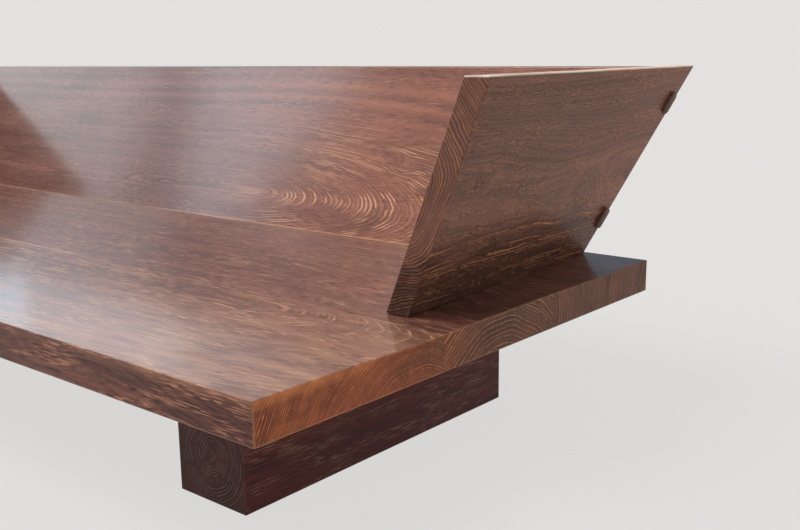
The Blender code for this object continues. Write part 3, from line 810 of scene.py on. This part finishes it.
# The ends are warmer than the long faces, as end grain is, with a painted light at their front that
# fades into a painted shade to the rear. The top outside the arm is darker under a painted shadow of the
# arm
SLAB_END_TINT_AND_SHADING = (REARWARD, -0.33, -0.10, (1.66, 1.14, 0.65), (0.80, 0.74, 0.54))
SHADED_TINT = (LENGTHWISE, 1.11, 1.19, (1, 1, 1), (0.72, 0.68, 0.70))
HOLLOW_DEPTH = 0.0028
HOLLOW_PLACE = 0.33  # from the slab's front edge
HOLLOW_REACH = 0.16
PALE_WEAR = 0.46  # how pale the top has worn at its right end, near the front
PALE_NEAR, PALE_FAR = 0.25, 0.80  # where that fades, from the slab's right end
PALE_START, PALE_END = 0.15, 0.45  # and from its front edge
SEAM_START, SEAM_END = -0.5, 0.3  # the part of the front seam that has worn pale
FOOT_TENONS = tuple(f"back_foot_tenon_{number}" for number in (1, 2, 3, 4))
# Each board's heart lies so far from the slab's front edge and below its top, and may sink to the left
slab_front = slab_low.y
slab_base = slab_low.z
slab_top = slab_high.z
slab_end = slab_high.x
boards = {
    "front": {
        "heart": Vector((slab_end, slab_front + 0.30, slab_top - 0.105)),
        "eases": (SEAT_EASE, 0),
        "ring": 0.0036,
        "lines": (1.0, 1.0),
        "dip": (-UPWARD, Vector((slab_end - 0.26, 0, 0)), 0.33),
        "tint": EVEN,
        "joints": ("seat_tongue_front", "leg_screw_left_1", "leg_screw_right_1"),
    },
    "middle": {
        "heart": Vector((slab_end, slab_front + 0.51, slab_top - 0.10)),
        "eases": (0, 0),
        "ring": 0.0068,
        "lines": (0.3, 2.0),
        "dip": (-UPWARD, Vector((slab_end - 0.55, 0, 0)), 0.14),
        "tint": SHADED_TINT,
        "joints": (
            "seat_tongue_front", "seat_tongue_rear", "leg_screw_left_2", "leg_screw_right_2",
            "arm_tenon_left_1", "arm_tenon_right_1",
        ),
    },
    "rear": {
        "heart": Vector((slab_end, slab_front + 1.45, slab_top - 0.10)),
        "eases": (0, SEAT_EASE),
        "ring": 0.0055,
        "lines": (0.4, 1.6),
        "dip": None,
        "tint": SHADED_TINT,
        "joints": (
            "seat_tongue_rear", "leg_screw_left_3", "leg_screw_right_3",
            "arm_tenon_left_2", "arm_tenon_right_2", *FOOT_TENONS,
        ),
    },
}


def worn_hollow(place):
    """Lowers the slab's top where its right end is worn."""
    along = (slab_end - place.x) / HOLLOW_REACH
    across = (place.y - slab_front - HOLLOW_PLACE) / HOLLOW_REACH
    rise = (place.z - slab_base) / (slab_top - slab_base)
    depth = HOLLOW_DEPTH * exp(-(along * along + across * across))
    return place - UPWARD * depth * rise


def seat_wear(place):
    """How worn the slab's top is: towards its right front corner, and along part of the front seam."""
    if slab_top - place.z > SEAT_EASE + HOLLOW_DEPTH:
        return 0.0
    if abs(place.y - slab_high.y) < 2 * JOINT_GAP and SEAM_START < place.x < SEAM_END:
        return SEAM_WEAR_AND_HIGHLIGHT
    from_end = (slab_end - place.x - PALE_NEAR) / (PALE_FAR - PALE_NEAR)
    from_front = (place.y - slab_front - PALE_START) / (PALE_END - PALE_START)
    return PALE_WEAR * (1 - min(max(from_end, 0.0), 1.0)) * (1 - min(max(from_front, 0.0), 1.0))


for board, facts in boards.items():
    node = f"seat_board_{board}"
    material = teak(
        f"lacquered {board} board teak",
        facts["heart"],
        LENGTHWISE,
        SEAT_COLOURS,
        ring=facts["ring"],
        lines=facts["lines"],
        breadth=0.5,
        plain=0.2,
        flecks=0.85,
        cell=(0.055, 0.006, 0.0020),
        weave=0.1,
        streak=1.5,
        dark_pores=1.0,
        dip=facts["dip"],
        polish=(0.05, 0.85),
        specular=0.25,
        tint=facts["tint"],
        end_tint=SLAB_END_TINT_AND_SHADING,
        quiet=(-REARWARD, FRONT_SHADE_TINT, 1.0),
        wear_and_highlight_colour=SEAT_WORN_AND_HIGHLIGHT_COLOUR,
    )
    eases = ((SEAT_EASE, SEAT_EASE), facts["eases"], (SEAT_EASE, SEAT_EASE))
    axes = (LENGTHWISE, REARWARD, UPWARD)
    mesh = finished_mesh(node, block(node, axes, eases, SEAT_STEP, SEAT_WEAR_AND_HIGHLIGHT, worn_hollow, seat_wear))
    show(f"{board}_seat_board", with_room_for(mesh, facts["joints"]), material, "seat_wood", node)

# Arms
# Two teak boards that lean outwards and toe in a little. They stand on the slab over loose tenons, and are
# mortised right through near their rear edges for the tenons of the two rails.
ARM_EASE = 0.002
ARM_STEP = 0.012
RAILS = ("back_rail_lower", "back_rail_upper")
ARM_HEART_OUT = 1.181  # the heart of the log, by its place in the outer face and its depth behind that
ARM_HEART_HEIGHT = 0.445
ARM_HEART_DEPTH = 0.09
SWIRL_PLACE = Vector((1.184, 0.292, 0.408))  # a knot's whorl in the outer face
arm_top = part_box("arm_right")[1].z


def arm_top_highlight(place):
    """The top edges are drawn pale: a painted highlight for the light that they catch."""
    return 1.0 if place.z > arm_top - ARM_EASE else 0.0


for side, sign in SIDES.items():
    node = f"arm_{side}"
    sides = outer_sides(node)
    front = side_towards(sides, -REARWARD)[0]
    inner = side_towards(sides, -sign * LENGTHWISE)[0]
    middle = Vector((sign * ARM_HEART_OUT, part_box(node)[0].y, ARM_HEART_HEIGHT))
    swirl = Vector((sign * SWIRL_PLACE.x, SWIRL_PLACE.y, SWIRL_PLACE.z))
    material = teak(
        f"lacquered {side} arm teak",
        middle + inner * ARM_HEART_DEPTH,
        -front,
        ((0.130, 0.059, 0.041), (0.355, 0.165, 0.115), (0.66, 0.30, 0.145)),
        ring=0.0048,
        lines=(1.6, 1.1),
        plain=0.1,
        dash=0.03,
        calm=((-UPWARD, -0.39, -0.33, 0.22),),
        shade=(-UPWARD, -0.36, -0.325, 0.52),
        flecks=0.6,
        cell=(0.022, 0.003, 0.0022),
        streak=0.7,
        cloud=0.6,
        ring_tone=(0.35, 1.1),
        sway=0.03,
        ripple=3.0,
        polish=(0.06, 0.06),
        specular=0.12,
        tint=(REARWARD, 0.0, 0.5, (1, 1, 1), (1.25, 1.12, 1.08)),
        # The front edge is drawn darker towards its foot: a painted shade where the arm meets the seat
        end_tint=(UPWARD, 0.29, 0.40, (0.70, 0.72, 0.82), (0.85, 0.88, 0.95)),
        humps=((swirl, (0.05, 0.05, 0.035), 0.022),),
        # On the arm, this pale colour is only a painted highlight along the top edges
        wear_and_highlight_colour=(1.0, 0.80, 0.66),
    )
    eases = ((ARM_EASE, ARM_EASE), (ARM_EASE, ARM_EASE), (0, ARM_EASE))
    axes = (-front, sign * LENGTHWISE, UPWARD)
    mesh = finished_mesh(node, block(node, axes, eases, ARM_STEP, 0.0, wear_and_highlight_at=arm_top_highlight))
    joints = [f"{kind}_{side}_{number}" for kind in ("arm_tenon", "back_end_tenon") for number in (1, 2)]
    show(f"{side}_arm", with_room_for(mesh, joints + list(RAILS)), material, "arm_wood", node)

# Back
# One wide teak board that leans between the arms, its ends sawn to meet their slope. Loose tenons hold it
# to the seat and the arms, and screws to the rails behind it.
BACK_EASE = 0.002
BACK_STEP = 0.014
# How pale the back's eased edges are drawn: wear, and a painted highlight for the light they catch
BACK_WEAR_AND_HIGHLIGHT = 0.25
BACK_HEART = (0.36, 0.075, 0.028)  # along the back, up its slope and behind its face
EYE_PLACE = (0.72, 0.17)  # a small knot
CALM_SLOPES = (0.30, 0.20)  # its lines fade between these, towards its top
END_TENONS = tuple(f"back_end_tenon_{side}_{number}" for side in SIDES for number in (1, 2))
RAIL_SCREWS = tuple(f"rail_screw_{rail}_{number}" for rail in ("lower", "upper") for number in (1, 2, 3, 4))
back_sides = outer_sides("back_board")
back_front = side_towards(back_sides, -REARWARD)[0]
back_slope = LENGTHWISE.cross(-back_front)
back_foot = Vector((0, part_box("back_board")[0].y, slab_top))


def on_back(x, slope, behind=0.0):
    """A point of the back: along it, up its slope and behind its front face."""
    return Vector((x, 0, 0)) + back_foot + back_slope * slope - back_front * behind


def back_foot_highlight(place):
    """A pale line along the foot of the back's front face, where it meets the seat: a painted highlight."""
    at_foot = place.z < slab_top + 2 * JOINT_GAP and back_front.dot(place - back_foot) > -BACK_EASE
    return SEAM_WEAR_AND_HIGHLIGHT if at_foot else 0.0


calm_places = [-back_slope.dot(on_back(0, slope)) for slope in CALM_SLOPES]
material = teak(
    "lacquered back teak",
    on_back(*BACK_HEART),
    LENGTHWISE,
    ((0.185, 0.068, 0.047), (0.455, 0.176, 0.124), (0.80, 0.43, 0.26)),
    ring=0.0030,
    lines=(1.4, 1.0),
    breadth=0.26,
    plain=0.0,
    dash=0.07,
    calm=((LENGTHWISE, 0.1, 0.50, 0.12), (-back_slope, *calm_places, 0.1)),
    sway=0.014,
    flecks=0.25,
    cell=(0.05, 0.004, 0.0025),
    streak=0.7,
    ring_tone=(0.7, 0.5),
    dip=(-back_front, on_back(BACK_HEART[0], 0), 0.20),
    humps=((on_back(*EYE_PLACE), (0.03, 0.018, 0.018), 0.014),),
    polish=(0.3, 0.85),
    polished=back_front,
    specular=0.3,
    # The back is drawn cooler and greyer towards its left end: a painted reflection of the cool haze there.
    # It is warmer towards the right
    tint=(LENGTHWISE, -0.10, 0.60, (0.74, 0.85, 0.95), (1.04, 0.97, 0.85)),
)
eases = ((0, 0), (BACK_EASE, BACK_EASE), (0, BACK_EASE))
axes = (LENGTHWISE, -back_front, UPWARD)
panel = block("back_board", axes, eases, BACK_STEP, BACK_WEAR_AND_HIGHLIGHT, wear_and_highlight_at=back_foot_highlight)
mesh = with_room_for(finished_mesh("back_board", panel), FOOT_TENONS + END_TENONS + RAIL_SCREWS)
show("back_board_panel", mesh, material, "back_wood", "back_board")

# Rails
# Two long teak rails behind the back, shouldered between the arms. Their tenons run through the arms and
# stand a little proud outside, with rounded corners. Screws from behind hold the back to them.
TENON_ANGLE = radians(50)
RAIL_HEART_BEFORE = 0.03
RAIL_HEART_BELOW = 0.05
for rail in RAILS:
    low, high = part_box(rail)
    row = rail.split("_")[-1]
    material = teak(
        f"oiled {row} rail teak",
        Vector((0, low.y - RAIL_HEART_BEFORE, (low.z + high.z) / 2 - RAIL_HEART_BELOW)),
        LENGTHWISE,
        ((0.080, 0.042, 0.030), (0.240, 0.120, 0.085), (0.40, 0.20, 0.11)),
        polish=(0, 0),
        specular=0.08,
    )
    mesh = finished_mesh(rail, merged(rail), TENON_ANGLE)
    show(f"rear_{row}_rail", mesh, material, "rail_wood", rail)
keep(RAIL_SCREWS, steel)

# Rail plugs
# Round teak plugs cut across the grain, glued over the screw heads and pared almost flush.
PLUG_NOSE = 0.0008
PLUG_TAPER = 0.94
PLUG_CORNERS = 40
PLUG_PROUD = 0.0004
PLUG_HEART = Vector((0, 0, 2.0))  # far off, so that the rings run straight through
plugs = [f"rail_plug_{rail}_{number}" for rail in ("lower", "upper") for number in (1, 2, 3, 4)]
plug_turn = UPWARD.rotation_difference(-back_front)
material = teak(
    "plug teak",
    PLUG_HEART,
    LENGTHWISE,
    ((0.050, 0.022, 0.016), (0.150, 0.062, 0.044), (0.40, 0.22, 0.12)),
    ring=0.003,
    polish=(0.2, 0.2),
)
tree, given = sized_tree("plug", ("Radius", "Length", "Nose"))
plug = pin(PLUG_CORNERS, given["Radius"], given["Length"], given["Nose"], PLUG_TAPER)
set_on_points(tree, given, plug)
places = []
for plug in plugs:
    reach = [-back_front.dot(vert.co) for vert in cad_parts[plug].data.vertices]
    middle = sum(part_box(plug), Vector()) / 2
    places.append(middle - back_front * (min(reach) + back_front.dot(middle)))
low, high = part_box(plugs[0])
length = max(reach) - min(reach) + PLUG_PROUD
sizes = {"Radius": (high.x - low.x) / 2, "Length": length, "Nose": PLUG_NOSE}
mesh = made_on(places, "rail_plugs", tree, material, sizes, tuple(plug_turn.to_euler()))
show("rail_plugs", mesh, material, "plug_wood", *plugs)

# Loose tongues and tenons
# Hidden teak slips, planed to fit and rounded at the edges, glued into grooves and mortises.
SLIP_COLOURS = ((0.060, 0.026, 0.019), (0.170, 0.070, 0.050), (0.42, 0.23, 0.13))
TONGUE_HEART = Vector((0, 0, -0.2))
TENON_HEART = Vector((0, -2.0, 0))
tongue_teak = teak("tongue teak", TONGUE_HEART, LENGTHWISE, SLIP_COLOURS, polish=(0, 0))
keep(("seat_tongue_front", "seat_tongue_rear") + END_TENONS, tongue_teak)
tenon_teak = teak("loose tenon teak", TENON_HEART, UPWARD, SLIP_COLOURS, polish=(0, 0))
keep(FOOT_TENONS + tuple(f"arm_tenon_{side}_{number}" for side in SIDES for number in (1, 2)), tenon_teak)

# Floor and backdrop
# A pale sheet under the sofa that fades into the same pale surroundings.
PALE = (0.7605, 0.7529, 0.7379)
BOUNCE = (0.42, 0.40, 0.38)  # what the floor throws back at the wood
FLOOR_REACH = 9.0
FLOOR_DROP = 0.0004
FADE_START = 3.0
FADE_END = 7.0
FLAT_SHARE = 0.88  # how much of the floor's colour is even, so that the shadow stays soft


def flat_mesh(name, corners):
    bm = bmesh.new()
    bm.faces.new([bm.verts.new(corner) for corner in corners])
    mesh = bpy.data.meshes.new(name)
    bm.to_mesh(mesh)
    bm.free()
    return mesh


corners = ((-1, -1), (1, -1), (1, 1), (-1, 1))
mesh = flat_mesh("floor", [(x * FLOOR_REACH, y * FLOOR_REACH, -FLOOR_DROP) for x, y in corners])
floor = placed("floor", mesh)
floor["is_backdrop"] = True
material, tree = new_material("pale floor")
tree.nodes.remove(tree.nodes["Principled BSDF"])


def mirrored_ray(tree):
    """Whether a ray comes by a gloss or through glass, and whether it comes from the camera."""
    path = tree.nodes.new("ShaderNodeLightPath").outputs
    return math("MAXIMUM", path["Is Glossy Ray"], path["Is Transmission Ray"]), path["Is Camera Ray"]


place = tree.nodes.new("ShaderNodeTexCoord").outputs["Object"]
far = smooth_step(vector_math("LENGTH", place), FADE_START, FADE_END)
even = math("MAXIMUM", far, FLAT_SHARE)
mirror, direct = mirrored_ray(tree)
seen = math("MAXIMUM", mirror, direct)
even = product(even, seen)
lit = add_node("ShaderNodeBsdfDiffuse", {"Color": mixed(seen, (*BOUNCE, 1), (*PALE, 1))})
flat = add_node("ShaderNodeEmission", {"Color": (*PALE, 1)}, tree)
both = add_node("ShaderNodeMixShader", {0: even, 1: lit.outputs[0], 2: flat.outputs[0]})
tree.links.new(both.outputs[0], tree.nodes["Material Output"].inputs["Surface"])
mesh.materials.append(material)

world = bpy.data.worlds.new("pale surroundings")
bpy.context.scene.world = world
world.use_nodes = True
tree = world.node_tree
AMBIENT = 0.66
SKY = (0.70, 0.88, 1.06)  # the cooler light that the lacquer mirrors
DIM_SIDE = 0.25  # how bright the surroundings look in the lacquer, away from their bright side
BRIGHT_SIDE = 1.12
BRIGHT_WAY = Vector((-0.97, 0.26, 0)).normalized()
BRIGHT_STEP = (0.80, 0.95)  # how nearly a ray has to run that way
way = tree.nodes.new("ShaderNodeTexCoord").outputs["Generated"]
bright = smooth_step(measured(way, BRIGHT_WAY), *BRIGHT_STEP, DIM_SIDE, BRIGHT_SIDE)
mirror, direct = mirrored_ray(tree)
level = blend(direct, blend(mirror, AMBIENT, bright), 1.0)
tree.links.new(mixed(mirror, (*PALE, 1), (*SKY, 1)), tree.nodes["Background"].inputs["Color"])
tree.links.new(level, tree.nodes["Background"].inputs["Strength"])

# Lights
# A soft sun from the upper left, and tall soft panes at the left that show in the lacquer.
SUN_PLACE = Vector((-1.2, -1.0, 3.0))
SUN_STRENGTH = 1.7
SUN_SPREAD = radians(35)
SUN_COLOUR = (1.0, 0.97, 0.93)
WALL = -3.5  # where the panes stand


def add_pane(name, corners, brightness, colour):
    """A glowing pane on the wall at the left. Its corners are places from front to rear, and heights."""
    mesh = flat_mesh(name, [(WALL, y, z) for y, z in corners])
    glow, tree = new_material(name)
    inputs = tree.nodes["Principled BSDF"].inputs
    inputs["Base Color"].default_value = (0, 0, 0, 1)
    inputs["Specular IOR Level"].default_value = 0.0
    inputs["Emission Color"].default_value = (*colour, 1)
    inputs["Emission Strength"].default_value = brightness
    mesh.materials.append(glow)
    pane = placed(name, mesh)
    pane.visible_camera = False
    pane.visible_shadow = False
    pane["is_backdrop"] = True


sun = bpy.data.lights.new("soft sun", "SUN")
sun.energy = SUN_STRENGTH
sun.angle = SUN_SPREAD
sun.color = SUN_COLOUR
sun_obj = placed("soft sun", sun)
sun_turn = (-SUN_PLACE).to_track_quat("-Z", "Y").to_matrix()
sun_obj.matrix_world = Matrix.Translation(SUN_PLACE) @ sun_turn.to_4x4()
near_corners = ((-2.48, 1.6), (-2.22, 1.6), (-1.2, 2.95), (-1.2, 4.0), (-2.48, 4.0))
add_pane("near pane", near_corners, 3.7, (0.74, 0.88, 1.0))
add_pane("far pane", ((-1.90, 1.0), (0.2, 1.0), (0.2, 2.8), (-0.99, 2.8)), 2.2, (0.85, 0.95, 1.0))
add_pane("rear pane", ((0.4, 0.9), (1.75, 0.9), (1.75, 2.5), (0.4, 2.5)), 2.05, (0.72, 0.88, 1.0))
add_pane("rear pane end", ((1.75, 0.9), (2.9, 0.9), (2.9, 2.5), (1.75, 2.5)), 1.25, (0.86, 0.92, 1.0))

# Camera
# It stands at the sofa's right front corner and looks across the seat to the left end of the back.
FOCAL_PIXELS = 995.5
IMAGE_WIDTH = 800
SENSOR = 36.0
EYE_FROM_CORNER = Vector((0.8387, -0.7237, 0.3948))
YAW, PITCH, ROLL = 0.7017, -0.2116, -0.012
forward = Vector((-sin(YAW) * cos(PITCH), cos(YAW) * cos(PITCH), sin(PITCH)))
level_right = Vector((cos(YAW), sin(YAW), 0))
level_up = level_right.cross(forward)
right = level_right * cos(ROLL) + level_up * sin(ROLL)
up = level_up * cos(ROLL) - level_right * sin(ROLL)
camera_data = bpy.data.cameras.new("camera")
camera_data.sensor_width = SENSOR
camera_data.lens = FOCAL_PIXELS * SENSOR / IMAGE_WIDTH
camera = placed("camera", camera_data)
eye = Vector((slab_high.x, slab_low.y, slab_high.z)) + EYE_FROM_CORNER
camera.matrix_world = Matrix.Translation(eye) @ Matrix((right, up, -forward)).transposed().to_4x4()
bpy.context.scene.camera = camera
bpy.context.scene.view_settings.view_transform = "Standard"

low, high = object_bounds()
